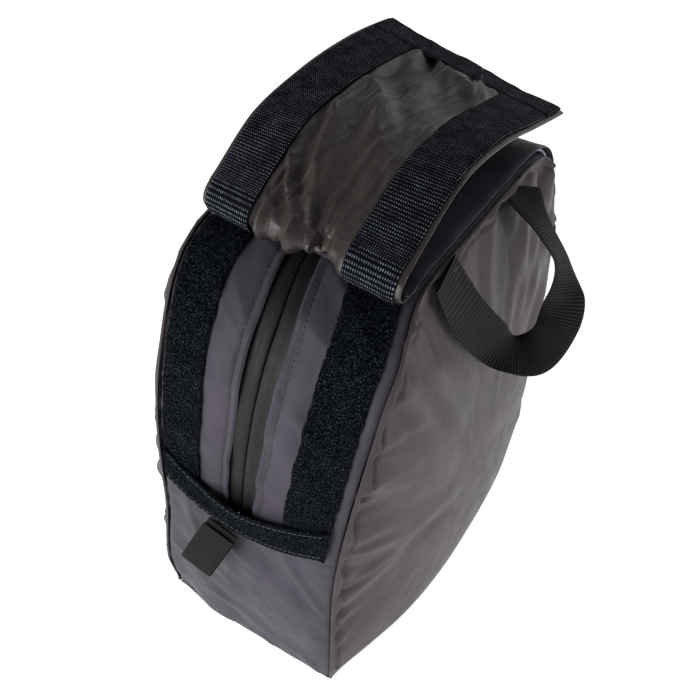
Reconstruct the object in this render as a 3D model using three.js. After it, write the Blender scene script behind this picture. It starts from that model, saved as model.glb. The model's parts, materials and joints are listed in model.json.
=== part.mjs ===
// Padded shoe bag with a zipped gusset, a peel-back hook-and-loop flap, one webbing
// handle and a pull tab. Millimetres, +Z up, origin at the bottom centre.
// -Y is the front (cross strip and tab), +X is the side with the handle.
import * as THREE from 'three';

// Driving dimensions
const HALF_W = 64.4;        // half width of the gusset
const HALF_L = 150;         // half length at the base
const HEIGHT = 281;         // top of the gusset
const SPRING = 40;          // height where the arch starts to curve
const FLAT = 40;            // half length of the flat top
const POWER = 3.35;         // squareness of the arch corners
const BULGE = 31;           // how far the stuffed sides stand out
const CLOTH = 1.6;          // fabric thickness
const TAPE = 1.5;           // hook and loop tape thickness
const GAP = 0.3;            // air between stacked layers
const TAPE_IN = 28;         // inner edge of the hook and loop tapes
const TAPE_OUT = 58;        // outer edge of the loop tapes
const ZIP_X = -1;           // zipper centre line
const ZIP_OPEN = 11;        // half width of the zipper showing between the panels
const ZIP_SPLIT = 0.8;      // half gap between the two zipper halves
const STRIP_Z = 123;        // lower edge of the cross strip at its middle
const STRIP_SAG = 19;       // how much the strip's ends stand above its middle
const STRIP_H = 24;         // height of the cross strip
const PANEL_Z = 134;        // height where the zipped gusset meets the end panels
const FLAP_HALF = 64.4;     // half width of the flap
const FLAP_CLOTH = 1.4;     // flap fabric thickness
const CROWN = 9;            // rise of the lower flap layer over the slider
const HINGE_GAP = 0.6;      // half gap between flap lengths at a fold

const materials = {
  gusset: { color: 0x58545c, roughness: 0.6 },
  side: { color: 0x4c4a4a, roughness: 0.5 },
  flap: { color: 0x645c5a, roughness: 0.45 },
  hook: { color: 0x14161f, roughness: 0.9 },
  loop: { color: 0x111318, roughness: 1.0 },
  coated: { color: 0x4b4a46, roughness: 0.55 },
  coil: { color: 0x191919, roughness: 0.4 },
  metal: { color: 0x2b2b2d, roughness: 0.35, metalness: 0.8 },
  webbing: { color: 0x1a1715, roughness: 0.8 },
  foam: { color: 0x8a8a86, roughness: 1.0 },
  board: { color: 0x2c2c2c, roughness: 0.8 },
  binding: { color: 0x202022, roughness: 0.9 },
};

const bag = new THREE.Group();
bag.name = 'shoe_bag';

// Makes one closed mesh from points and triangles, with its faces turned outward.
function addSolid(name, look, points, triangles) {
  let volume = 0;
  for (const [a, b, c] of triangles) {
    const [p, q, r] = [points[a], points[b], points[c]];
    volume += p[0] * (q[1] * r[2] - q[2] * r[1]);
    volume += p[1] * (q[2] * r[0] - q[0] * r[2]);
    volume += p[2] * (q[0] * r[1] - q[1] * r[0]);
  }
  const index = [];
  for (const [a, b, c] of triangles) {
    index.push(...(volume > 0 ? [a, b, c] : [a, c, b]));
  }
  const geometry = new THREE.BufferGeometry();
  geometry.setAttribute('position', new THREE.Float32BufferAttribute(points.flat(), 3));
  geometry.setIndex(index);
  geometry.computeVertexNormals();
  const mesh = new THREE.Mesh(geometry, new THREE.MeshStandardMaterial(materials[look]));
  mesh.name = name;
  bag.add(mesh);
}

// A sheet with thickness: place(i, j, side) gives a point, side 0 below and 1 above.
function addSheet(name, look, ni, nj, place) {
  const points = [];
  const at = (i, j, side) => (side * (ni + 1) + i) * (nj + 1) + j;
  for (let side = 0; side < 2; side++) {
    for (let i = 0; i <= ni; i++) {
      for (let j = 0; j <= nj; j++) {
        points.push(place(i, j, side));
      }
    }
  }
  const tris = [];
  const quad = (a, b, c, d) => tris.push([a, b, c], [a, c, d]);
  for (let i = 0; i < ni; i++) {
    for (let j = 0; j < nj; j++) {
      quad(at(i, j, 1), at(i + 1, j, 1), at(i + 1, j + 1, 1), at(i, j + 1, 1));
      quad(at(i, j, 0), at(i, j + 1, 0), at(i + 1, j + 1, 0), at(i + 1, j, 0));
    }
  }
  for (let i = 0; i < ni; i++) {
    quad(at(i, 0, 0), at(i + 1, 0, 0), at(i + 1, 0, 1), at(i, 0, 1));
    quad(at(i, nj, 1), at(i + 1, nj, 1), at(i + 1, nj, 0), at(i, nj, 0));
  }
  for (let j = 0; j < nj; j++) {
    quad(at(0, j, 1), at(0, j + 1, 1), at(0, j + 1, 0), at(0, j, 0));
    quad(at(ni, j, 0), at(ni, j + 1, 0), at(ni, j + 1, 1), at(ni, j, 1));
  }
  addSolid(name, look, points, tris);
}

function addBox(name, look, low, high) {
  addSheet(name, look, 1, 1, (i, j, k) => [
    i ? high[0] : low[0],
    j ? high[1] : low[1],
    k ? high[2] : low[2],
  ]);
}

// The arch: front wall, front corner, flat top, rear corner, rear wall.
function makeArch() {
  const half = [[-HALF_L, 0], [-HALF_L, SPRING]];
  const steps = 60;
  for (let i = 1; i <= steps; i++) {
    const turn = (i / steps) * Math.PI / 2;
    const y = FLAT + (HALF_L - FLAT) * Math.pow(Math.cos(turn), 2 / POWER);
    const z = SPRING + (HEIGHT - SPRING) * Math.pow(Math.sin(turn), 2 / POWER);
    half.push([-y, z]);
  }
  const rear = half.map(([y, z]) => [-y, z]).reverse();
  const line = half.concat(rear);
  const length = [0];
  for (let i = 1; i < line.length; i++) {
    const step = Math.hypot(line[i][0] - line[i - 1][0], line[i][1] - line[i - 1][1]);
    length.push(length[i - 1] + step);
  }
  return { line, length, total: length[length.length - 1] };
}

const arch = makeArch();

// Point of the arch at arc length s, moved outward by offset.
function archPoint(s, offset) {
  const pick = (value) => {
    const t = Math.min(Math.max(value, 0), arch.total);
    let k = 1;
    while (k < arch.length.length - 1 && arch.length[k] < t) k++;
    const span = arch.length[k] - arch.length[k - 1];
    const part = span > 0 ? (t - arch.length[k - 1]) / span : 0;
    const [a, b] = [arch.line[k - 1], arch.line[k]];
    return [a[0] + (b[0] - a[0]) * part, a[1] + (b[1] - a[1]) * part];
  };
  const p = pick(s);
  const [before, after] = [pick(s - 4), pick(s + 4)];
  const dy = after[0] - before[0];
  const dz = after[1] - before[1];
  const size = Math.hypot(dy, dz);
  return [p[0] - (dz / size) * offset, p[1] + (dy / size) * offset];
}

// Arc length at which the front wall reaches a height, and the matching rear one.
function frontAt(z) {
  let s = 0;
  while (archPoint(s, 0)[1] < z) s += 0.25;
  return s;
}
const rearAt = (z) => arch.total - frontAt(z);

// A strip that runs round the arch from arc length s0 to s1.
function addArchStrip(name, look, x0, x1, s0, s1, low, high, steps, crown = () => 0, across = 1) {
  addSheet(name, look, across, steps, (i, j, side) => {
    const x = x0 + (x1 - x0) * i / across;
    const s = s0 + (s1 - s0) * j / steps;
    const [y, z] = archPoint(s, (side ? high : low) + crown(x, s));
    return [x, y, z];
  });
}

// How far a stuffed side stands out from the seam line at (y, z).
function sideBulge(y, z) {
  const up = Math.max(z - SPRING, 0) / (HEIGHT - SPRING);
  const along = Math.abs(y) / HALF_L;
  const reach = Math.pow(Math.pow(along, 4) + Math.pow(up, 4), 0.25);
  const low = z < 60 ? 1 - 0.14 * Math.pow((60 - z) / 60, 2) : 1;
  const tuckHeight = 16;
  const tuck = Math.min(Math.max((z - 1.5) / tuckHeight, 0), 1);
  const under = Math.sqrt(1 - Math.pow(1 - tuck, 2));
  return BULGE * Math.max(1 - Math.pow(Math.min(reach, 1), 2.6), 0) * low * under;
}

// A bulged side sheet, from the seam outline shrunk by edge, between two depths.
function addSide(name, look, sign, edge, depth0, depth1) {
  const rings = [0.4, 0.72, 0.9, 0.97, 1];
  const around = [];
  const steps = 26;
  for (let i = 0; i <= steps; i++) {
    around.push(archPoint(arch.total * i / steps, 0));
  }
  for (let i = 1; i < 8; i++) {
    around.push([HALF_L - 2 * HALF_L * i / 8, 0]);
  }
  const centre = [0, 110];
  const points = [];
  const point = (y, z, side) => {
    const depth = side ? depth1 : depth0;
    const x = 64.9 + sideBulge(y, z) + depth;
    return [sign * x, y, z];
  };
  const lift = 1.5;
  for (let side = 0; side < 2; side++) {
    points.push(point(centre[0], centre[1], side));
    for (const ring of rings) {
      for (const [y, z] of around) {
        const zz = Math.max(z, lift);
        const y1 = centre[0] + (y - centre[0]) * ring * edge;
        const z1 = centre[1] + (zz - centre[1]) * ring * edge;
        points.push(point(y1, z1, side));
      }
    }
  }
  const count = around.length;
  const base = 1 + rings.length * count;
  const at = (side, ring, k) => side * base + 1 + ring * count + (k % count);
  const tris = [];
  for (let k = 0; k < count; k++) {
    tris.push([base, at(1, 0, k), at(1, 0, k + 1)], [0, at(0, 0, k + 1), at(0, 0, k)]);
    for (let r = 0; r < rings.length - 1; r++) {
      const [a, b, c, d] = [at(1, r, k), at(1, r + 1, k), at(1, r + 1, k + 1), at(1, r, k + 1)];
      tris.push([a, b, c], [a, c, d]);
      const [e, f, g, h] = [at(0, r, k), at(0, r + 1, k), at(0, r + 1, k + 1), at(0, r, k + 1)];
      tris.push([e, g, f], [e, h, g]);
    }
    const last = rings.length - 1;
    const [m, n, o, p] = [at(0, last, k), at(0, last, k + 1), at(1, last, k + 1), at(1, last, k)];
    tris.push([m, n, o], [m, o, p]);
  }
  addSolid(name, look, points, tris);
}

// Smooth line through a few points, by Catmull-Rom.
function smooth(points, t) {
  const last = points.length - 1;
  const place = Math.min(Math.max(t, 0), 1) * last;
  const k = Math.min(Math.floor(place), last - 1);
  const u = place - k;
  const get = (i) => points[Math.min(Math.max(i, 0), last)];
  const [a, b, c, d] = [get(k - 1), get(k), get(k + 1), get(k + 2)];
  return b.map((_, i) => 0.5 * (2 * b[i] + (c[i] - a[i]) * u
    + (2 * a[i] - 5 * b[i] + 4 * c[i] - d[i]) * u * u
    + (3 * b[i] - a[i] - 3 * c[i] + d[i]) * u * u * u));
}

function addBase() {
  addBox('base_panel', 'gusset', [-HALF_W, -149.7, 0], [HALF_W, 149.7, 1.4]);
  addBox('base_board', 'board', [-62, -144, 2], [62, 144, 4]);
}

function addSides() {
  for (const [side, sign] of [['right', 1], ['left', -1]]) {
    addSide(`side_panel_${side}`, 'side', sign, 1, 0, CLOTH);
    addSide(`side_foam_${side}`, 'foam', sign, 0.88, -8, -3.2);
  }
}

function addGusset() {
  const front = frontAt(PANEL_Z);
  const rear = rearAt(PANEL_Z);
  const low = 1.8;
  addArchStrip('front_panel', 'gusset', -HALF_W, HALF_W, low, front - GAP, -CLOTH, 0, 6);
  addArchStrip('rear_panel', 'gusset', -HALF_W, HALF_W, rear + GAP, arch.total - low, -CLOTH, 0, 6);
  addArchStrip('zip_panel_left', 'gusset', -HALF_W, ZIP_X - ZIP_OPEN, front, rear, -CLOTH, 0, 48);
  addArchStrip('zip_panel_right', 'gusset', ZIP_X + ZIP_OPEN, HALF_W, front, rear, -CLOTH, 0, 48);
}

function addZipper() {
  const [start, end] = [frontAt(PANEL_Z) + 1, rearAt(PANEL_Z) - 1];
  const top = -CLOTH - GAP;
  const low = top - 0.8;
  for (const [side, sign] of [['right', 1], ['left', -1]]) {
    const edges = [ZIP_X + sign * ZIP_SPLIT, ZIP_X + sign * 17].sort((a, b) => a - b);
    addArchStrip(`zipper_tape_${side}`, 'coated', edges[0], edges[1], start, end, low, top, 48);
    const coil = [ZIP_X + sign * ZIP_SPLIT, ZIP_X + sign * 3.2].sort((a, b) => a - b);
    addArchStrip(`zipper_coil_${side}`, 'coil', coil[0], coil[1], start + 6, end - 6,
      low - GAP - 1.6, low - GAP, 48);
  }
  const stop = (name, s) => addArchStrip(name, 'metal', ZIP_X - 3, ZIP_X + 3, s, s + 4,
    low - GAP - 1.6, low - GAP, 1);
  stop('zipper_stop_front', start + 1);
  stop('zipper_stop_rear', end - 5);
}

// Slider: a plate above the tape, one below the coil, and a thin web between them.
function addSlider() {
  const y0 = 52;
  const [x0, x1] = [ZIP_X - 4.5, ZIP_X + 4.5];
  const tapeTop = HEIGHT - CLOTH - GAP;
  const underside = tapeTop - 0.8 - GAP - 1.6 - 0.9;
  const outline = [
    [x0, tapeTop + 0.9], [ZIP_X - 0.4, tapeTop + 0.9], [ZIP_X - 0.4, underside],
    [x0, underside], [x0, underside - 1.2], [x1, underside - 1.2], [x1, underside],
    [ZIP_X + 0.4, underside], [ZIP_X + 0.4, tapeTop + 0.9], [x1, tapeTop + 0.9],
    [x1, tapeTop + 2.3], [x0, tapeTop + 2.3],
  ];
  const shape = new THREE.Shape(outline.map(([x, z]) => new THREE.Vector2(x, z)));
  const body = new THREE.ExtrudeGeometry(shape, { depth: 14, bevelEnabled: false, steps: 1 });
  body.rotateX(Math.PI / 2);
  body.translate(0, y0 + 14, 0);
  const mesh = new THREE.Mesh(body, new THREE.MeshStandardMaterial(materials.metal));
  mesh.name = 'zip_slider';
  bag.add(mesh);
  addBox('zip_puller', 'metal', [ZIP_X - 2.5, y0 + 5, tapeTop + 2.6], [ZIP_X + 2.5, y0 + 27, tapeTop + 3.8]);
}

function addLoopTapes() {
  const [start, end] = [frontAt(PANEL_Z + 3), rearAt(PANEL_Z)];
  addArchStrip('loop_tape_right', 'loop', TAPE_IN, TAPE_OUT, start, end, GAP, GAP + TAPE, 48);
  addArchStrip('loop_tape_left', 'loop', -TAPE_OUT, -TAPE_IN, start, end, GAP, GAP + TAPE, 48);
}

// The cross strip hangs in a shallow curve across the front.
function addCrossStrip() {
  const low = 2 * GAP + TAPE;
  addSheet('cross_strip', 'loop', 14, 3, (i, j, side) => {
    const x = -59 + 118 * i / 14;
    const z = STRIP_Z + STRIP_SAG * Math.pow(x / 59, 2) + STRIP_H * j / 3;
    const [y, zz] = archPoint(frontAt(z), low + side * TAPE);
    return [x, y, zz];
  });
}

// The tab: webbing folded on itself, sewn at the strip's lower edge.
function addTab() {
  const root = [-8, -154, 121.5];
  const reach = [-13, -12, -32];
  const across = [12.5, -2, 1];
  const normal = new THREE.Vector3(...across).cross(new THREE.Vector3(...reach)).normalize();
  addSheet('grab_tab', 'webbing', 1, 4, (i, j, side) => {
    const a = (i * 2 - 1);
    const b = j / 4;
    const rise = side ? 3.4 : 0;
    return [0, 1, 2].map((k) => root[k] + across[k] * a + reach[k] * b
      - normal.getComponent(k) * rise);
  });
}

// Centre line and width direction of the handle webbing, seam to seam.
const HANDLE_LINE = [
  [69.5, -51, 280.5], [84, -42, 248], [98, -14, 213], [108, 6, 196], [113, 20, 198],
  [114, 30, 212], [113, 33, 234], [106, 36, 253], [90, 44, 267], [78, 50, 276],
  [70.5, 49, 281],
];
const HANDLE_WIDTH = [
  [0, 1, 0], [0.1, 1, 0.1], [0.1, 0.8, 0.5], [-0.4, 0, 1], [-0.6, -0.35, 0.7],
  [-0.85, -0.5, 0.1], [-0.8, -0.5, 0.3], [-0.5, -0.6, 0.2], [-0.3, -0.9, 0], [0, -1, 0],
  [0, -1, 0],
];

function addHandle() {
  const steps = 30;
  addSheet('handle_strap', 'webbing', 1, steps, (i, j, side) => {
    const t = j / steps;
    const p = new THREE.Vector3(...smooth(HANDLE_LINE, t));
    const ahead = new THREE.Vector3(...smooth(HANDLE_LINE, t + 0.01));
    const behind = new THREE.Vector3(...smooth(HANDLE_LINE, t - 0.01));
    const along = ahead.sub(behind).normalize();
    const across = new THREE.Vector3(...smooth(HANDLE_WIDTH, t));
    across.addScaledVector(along, -across.dot(along)).normalize();
    const normal = along.clone().cross(across);
    p.addScaledVector(across, (i - 0.5) * 26).addScaledVector(normal, (side - 0.5) * 1.6);
    return p.toArray();
  });
}

// Height of the lower flap layer over the zipper, fading out near the fold.
function flapCrown(x, y) {
  const inside = Math.abs(x) < 27 ? Math.pow(Math.cos(Math.PI * x / 54), 2) : 0;
  const fade = Math.min(Math.max((y + 78) / 14, 0), 1);
  const down = y > 100 ? Math.max(0, 1 - (y - 100) / 30) : 1;
  return CROWN * inside * (0.35 + 0.65 * Math.min(fade, 1)) * (0.3 + 0.7 * down);
}

// Lower flap layer: up the rear, over the top, and round the fold at the front.
function addFlapBase() {
  const mid = 3 * GAP + 2 * TAPE + FLAP_CLOTH / 2;
  const start = rearAt(PANEL_Z - 22);
  const finish = frontAt(HEIGHT - 2.2);
  const path = [];
  const rows = 30;
  for (let i = 0; i <= rows; i++) {
    path.push(archPoint(start + (finish - start) * i / rows, mid));
  }
  const fold = path[rows][0];
  const top = path[rows][1];
  path.push([fold - 7, top + 0.4], [fold - 12, top + 3], [-84.5, 293], [-83.2, 298.2]);
  const columns = 8;
  addSheet('flap_base', 'flap', columns, path.length - 1, (i, j, side) => {
    const x = -FLAP_HALF + 2 * FLAP_HALF * i / columns;
    const before = path[Math.max(j - 1, 0)];
    const after = path[Math.min(j + 1, path.length - 1)];
    const size = Math.hypot(after[0] - before[0], after[1] - before[1]);
    const normal = [(after[1] - before[1]) / size, -(after[0] - before[0]) / size];
    const out = (side - 0.5) * FLAP_CLOTH + (j <= rows ? flapCrown(x, path[j][0]) : 0);
    return [x, path[j][0] + normal[0] * out, path[j][1] + normal[1] * out];
  });
  const low = 2 * GAP + TAPE;
  addArchStrip('flap_base_hook_right', 'hook', TAPE_IN + 2, TAPE_OUT + 3, finish + 4, start - 2,
    low, low + TAPE - 0.1, 36);
  addArchStrip('flap_base_hook_left', 'hook', -TAPE_OUT - 3, -TAPE_IN - 2, finish + 4, start - 2,
    low, low + TAPE - 0.1, 36);
}

// Fold lines of the free flap as (y, z, rise of the left edge).
const FOLDS = [
  [-83, 300, 0], [-34, 320, 0], [19, 322, 2], [71.5, 315, 4], [123.5, 304.5, 5],
];

// The free flap lies back on itself in four lengths, hook side up.
function addFreeFlap() {
  const lengths = FOLDS.length - 1;
  const surface = (k, part, x, rise) => {
    const [y, z, tilt] = smooth(FOLDS, (k + part) / lengths);
    const ahead = smooth(FOLDS, (k + part) / lengths + 0.01);
    const behind = smooth(FOLDS, (k + part) / lengths - 0.01);
    const size = Math.hypot(ahead[0] - behind[0], ahead[1] - behind[1]);
    const normal = [-(ahead[1] - behind[1]) / size, (ahead[0] - behind[0]) / size];
    return [x, y + normal[0] * rise, z + normal[1] * rise - tilt * x / FLAP_HALF];
  };
  const piece = (name, look, k, x0, x1, p0, p1, low, high, columns) => {
    addSheet(name, look, columns, 4, (i, j, side) => {
      const x = x0 + (x1 - x0) * i / columns;
      return surface(k, p0 + (p1 - p0) * j / 4, x, side ? high : low);
    });
  };
  const half = FLAP_CLOTH / 2;
  for (let k = 0; k < lengths; k++) {
    const edge = HINGE_GAP / 53;
    const start = k === 0 ? 2.3 / 53 : edge;
    const tapeEdge = 1.7 / 53;
    const tapeStart = k === 0 ? 6 / 53 : tapeEdge;
    const tapeEnd = k === lengths - 1 ? 0.42 : 1 - tapeEdge;
    piece(`flap_${k + 1}`, 'flap', k, -FLAP_HALF, FLAP_HALF, start, 1 - edge, -half, half, 2);
    const [low, high] = [half + GAP, half + GAP + TAPE - 0.1];
    piece(`flap_hook_right_${k + 1}`, 'hook', k, 31, 61.5, tapeStart, tapeEnd, low, high, 1);
    piece(`flap_hook_left_${k + 1}`, 'hook', k, -61.5, -31, tapeStart, tapeEnd, low, high, 1);
  }
  piece('flap_end_hook', 'hook', lengths - 1, -62, 62, 0.44, 0.97, half + GAP, half + GAP + TAPE, 2);
}

// Binding tape over the raw seam edges inside.
function addSeamBindings() {
  for (const [side, sign] of [['right', 1], ['left', -1]]) {
    const edges = [sign * 55, sign * 63.5].sort((a, b) => a - b);
    addArchStrip(`seam_binding_${side}`, 'binding', edges[0], edges[1], 6, arch.total - 6,
      -CLOTH - GAP - 1.2, -CLOTH - GAP, 52);
  }
}

addBase();
addSides();
addGusset();
addZipper();
addSlider();
addLoopTapes();
addCrossStrip();
addTab();
addHandle();
addFlapBase();
addFreeFlap();
addSeamBindings();

export default bag;
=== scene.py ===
import json
import math

import bmesh
import bpy
import numpy as np
from mathutils import Matrix, Vector


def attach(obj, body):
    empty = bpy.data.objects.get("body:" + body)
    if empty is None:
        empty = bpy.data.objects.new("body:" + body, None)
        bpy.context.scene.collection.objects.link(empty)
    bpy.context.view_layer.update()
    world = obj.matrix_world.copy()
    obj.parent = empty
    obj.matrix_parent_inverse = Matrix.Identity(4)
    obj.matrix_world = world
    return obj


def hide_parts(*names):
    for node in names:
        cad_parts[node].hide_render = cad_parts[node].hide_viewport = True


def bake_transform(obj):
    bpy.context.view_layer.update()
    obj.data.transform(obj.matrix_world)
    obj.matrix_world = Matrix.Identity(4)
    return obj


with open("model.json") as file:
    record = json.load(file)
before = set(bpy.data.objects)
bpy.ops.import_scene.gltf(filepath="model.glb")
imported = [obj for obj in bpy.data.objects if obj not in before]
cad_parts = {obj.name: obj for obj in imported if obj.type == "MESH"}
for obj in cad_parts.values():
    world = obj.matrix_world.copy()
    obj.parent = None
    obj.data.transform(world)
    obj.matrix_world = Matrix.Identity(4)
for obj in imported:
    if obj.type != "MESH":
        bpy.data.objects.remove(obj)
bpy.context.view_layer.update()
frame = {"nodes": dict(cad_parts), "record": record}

# ---------------------------------------------------------------- sizes, in millimetres
MM = 0.001
HALF_W = 64.4
HALF_L = 150.0
HEIGHT = 281.0
SPRING = 40.0
FLAT = 40.0
POWER = 3.35
BULGE = 31.0
CLOTH = 1.6
TAPE = 1.5
GAP = 0.3               # clearance between two sewn layers
TAPE_IN = 28.0          # the right loop tape's edges
TAPE_OUT = 58.0
LEFT_TAPE = (-61.5, -32.0)
ZIP_X = -1.0
ZIP_OPEN = 9.0          # half the opening between the rolled edges
ZIP_TAPE_IN = 0.35
ZIP_TAPE_OUT = 17.0
ZIP_TAPE = 0.8
COIL_IN = 0.8
COIL_OUT = 3.2
COIL = 1.6
BINDING_IN = 55.0
BINDING_OUT = 63.5
BASE_HALF_L = 149.7
BASE_CLOTH = 1.4
STRIP_Z = 123.0
STRIP_SAG = 19.0
STRIP_H = 24.0
STRIP_HALF = 59.0
STRIP_RISE = 2.1        # the cross strip's underside, above the front panel
PANEL_Z = 134.0
FLAP_HALF = 64.4
FLAP_CLOTH = 1.4
FLAP_STEP = 53.0        # length of flap between two fold lines
HOOK_IN = 31.0
HOOK_OUT = 61.5
CROWN = 9.0
SIDE_X = 64.9           # where a side's cloth starts
SIDE_MIDDLE = (0.0, 110.0)
FOAM = 4.5
FOAM_GAP = 0.8
FOAM_REACH = 0.9        # the padding ends at this share of the way to the seam
CORNER_ROUND = 5.0
LEFT_PULL = 9.0         # how far the stuffing draws in the left seam
RIGHT_PUSH = 11.0       # how far it pushes out the right seam

FOLD_DIRECTION = (0.35, 1.0)
# Fold lines of the flap as y, z and the rise of the left edge.
FOLDS = np.array([
    [-83, 300, 0], [-34, 320, 0], [19, 322, 2], [71.5, 315, 4], [123.5, 304.5, 5],
], float)
ROLL_REACH = 0.56       # the rolled fold's arc, in flap lengths
FOLD_SKEW = 14.0        # the left end of the fold lies this much further back
FLAP_CUTS = [(-ROLL_REACH, 0.5), (0.5, 1.5), (1.5, 2.5), (2.5, 4.0)]
HOOK_CUTS = [(0.03 - ROLL_REACH, 0.5), (0.5, 1.5), (1.5, 2.5), (2.5, 3.42)]
END_HOOK_CUT = (3.44, 3.97)
ROLL = np.array([[-83, 300], [-89, 295.2], [-91, 289.5], [-88, 284.8], [-81, 283.2], [-73, 283.4]])
HANDLE_W = 26.0
HANDLE_CLOTH = 1.7
# Centre line and width direction of the handle webbing, seam to seam.
HANDLE_LINE = np.array([
    [69.5, -51, 280.5], [82, -40, 248], [94, -22, 220], [106, -13, 210], [115, -1, 210],
    [118, 12, 219], [116, 21, 238], [107, 30, 252], [93, 33, 266], [78, 40, 274],
    [68.5, 50, 277],
], float)
HANDLE_WIDTH = np.array([
    [0, 1, 0], [0.3, 0.95, 0], [0.4, 0.9, -0.1], [-0.05, 0.95, 0.1], [-0.45, 0.5, 0.7],
    [-0.6, 0.15, 0.8], [-0.6, -0.25, 0.75], [-0.35, -0.6, 0.7], [-0.3, -0.8, 0.5], [-0.2, -0.95, 0.15],
    [0, -1, 0],
], float)
TAB_ROOT = np.array([-8.0, -154.0, 121.5])
TAB_REACH = np.array([-13.0, -12.0, -32.0])
TAB_SIDE = np.array([12.5, -2.0, 1.0])
TAB_WIDTH = 25.4
TAB_CLOTH = 1.2
TAB_LENGTH = 78.0

CAMERA_TURN = (29.65, 43.87, 2.16)      # azimuth, elevation and roll in degrees
CAMERA_TARGET = (-0.02159, 0.01369, 0.1264)
CAMERA_DISTANCE = 0.61755
SENSOR = 36
LENS = SENSOR * 858.66 / 700
# Name, place, size, power and aim of each light, in metres and watts.
LIGHTS = (
    ("key", (-0.5, -1.2, 0.55), 0.9, 19, (0, 0, 0.14)),
    ("rear_rim", (0.35, 0.95, 0.95), 0.8, 2, (0.05, 0, 0.2)),
    ("right_fill", (1.1, 0.1, 0.14), 0.5, 8, (0.05, 0, 0.03)),
)


# ---------------------------------------------------------------- curves and noise
def make_arch():
    turn = np.linspace(0, math.pi / 2, 400)[1:]
    y = FLAT + (HALF_L - FLAT) * np.cos(turn) ** (2 / POWER)
    z = SPRING + (HEIGHT - SPRING) * np.sin(turn) ** (2 / POWER)
    half = np.vstack([[[-HALF_L, 0], [-HALF_L, SPRING]], np.stack([-y, z], 1)])
    line = np.vstack([half, half[::-1] * [-1, 1]])
    step = np.hypot(*np.diff(line, axis=0).T)
    return line, np.concatenate([[0], np.cumsum(step)])


ARCH, ARCH_S = make_arch()
TOTAL = ARCH_S[-1]


def arch_point(s, offset):
    """Point of the arch at arc length s, moved outward by offset: arrays of y and z."""
    s = np.asarray(s, float)

    def pick(t):
        t = np.clip(t, 0, TOTAL)
        return np.interp(t, ARCH_S, ARCH[:, 0]), np.interp(t, ARCH_S, ARCH[:, 1])

    y, z = pick(s)
    y0, z0 = pick(s - 4)
    y1, z1 = pick(s + 4)
    size = np.hypot(y1 - y0, z1 - z0)
    return y - (z1 - z0) / size * offset, z + (y1 - y0) / size * offset


def front_arc(height):
    """Arc length at which the front of the arch reaches a height, or an array of them."""
    half = len(ARCH) // 2
    return np.interp(height, ARCH[:half, 1], ARCH_S[:half])


def front_at(height):
    return float(front_arc(height))


def rear_at(height):
    return TOTAL - front_at(height)


def lattice_noise(x, y, seed):
    """Smooth repeatable noise from -1 to 1 over arrays, one bump per unit."""
    table = np.random.RandomState(seed).uniform(-1, 1, (64, 64))
    xi, yi = np.floor(x).astype(int), np.floor(y).astype(int)
    fx, fy = x - xi, y - yi
    fx, fy = fx * fx * (3 - 2 * fx), fy * fy * (3 - 2 * fy)
    a, b = table[xi % 64, yi % 64], table[(xi + 1) % 64, yi % 64]
    c, d = table[xi % 64, (yi + 1) % 64], table[(xi + 1) % 64, (yi + 1) % 64]
    return (a * (1 - fx) + b * fx) * (1 - fy) + (c * (1 - fx) + d * fx) * fy


def fabric_noise(x, y, seed):
    """Layered noise, from about -1 to 1, for soft unevenness."""
    coarse = 0.6 * lattice_noise(x, y, seed)
    middle = 0.3 * lattice_noise(2.1 * x, 2.1 * y, seed + 1)
    return coarse + middle + 0.15 * lattice_noise(4.3 * x, 4.3 * y, seed + 2)


def ridges(x, y, seed):
    """Creased noise from -0.6 to 1 with sharp crests, bent by a slower noise."""
    wx = x + 0.8 * lattice_noise(0.5 * x, 0.5 * y, seed + 7)
    wy = y + 0.8 * lattice_noise(0.5 * x + 9, 0.5 * y, seed + 8)
    return 1 - np.abs(lattice_noise(wx, wy, seed)) * 1.6


def smooth_line(points, t):
    """Catmull-Rom line through points, t from 0 to 1."""
    last = len(points) - 1
    place = np.clip(np.asarray(t, float), 0, 1) * last
    k = np.minimum(np.floor(place).astype(int), last - 1)
    u = (place - k)[..., None]

    def get(i):
        return points[np.clip(i, 0, last)]

    a, b, c, d = get(k - 1), get(k), get(k + 1), get(k + 2)
    return 0.5 * (2 * b + (c - a) * u + (2 * a - 5 * b + 4 * c - d) * u * u
                  + (3 * b - a - 3 * c + d) * u ** 3)


def ease(x, low, high):
    """Smooth step from 0 at low to 1 at high."""
    t = np.clip((x - low) / (high - low), 0, 1)
    return t * t * (3 - 2 * t)


# ---------------------------------------------------------------- meshes
def add_mesh(name, points, quads, uv=None, sharp=40):
    mesh = bpy.data.meshes.new(name)
    mesh.from_pydata((np.asarray(points) * MM).tolist(), [], [tuple(q) for q in quads])
    if uv is not None:
        layer = mesh.uv_layers.new(name="mm")
        loops = np.zeros(len(mesh.loops), int)
        mesh.loops.foreach_get("vertex_index", loops)
        layer.data.foreach_set("uv", np.asarray(uv, np.float32)[loops].ravel())
    mesh.polygons.foreach_set("use_smooth", [True] * len(mesh.polygons))
    mesh.update()
    mesh.set_sharp_from_angle(angle=math.radians(sharp))
    obj = bpy.data.objects.new(name, mesh)
    bpy.context.scene.collection.objects.link(obj)
    return obj


def grid_normals(grid):
    du = np.gradient(grid, axis=0)
    dv = np.gradient(grid, axis=1)
    normal = np.cross(du, dv)
    return normal / np.maximum(np.linalg.norm(normal, axis=2, keepdims=True), 1e-9)


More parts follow.
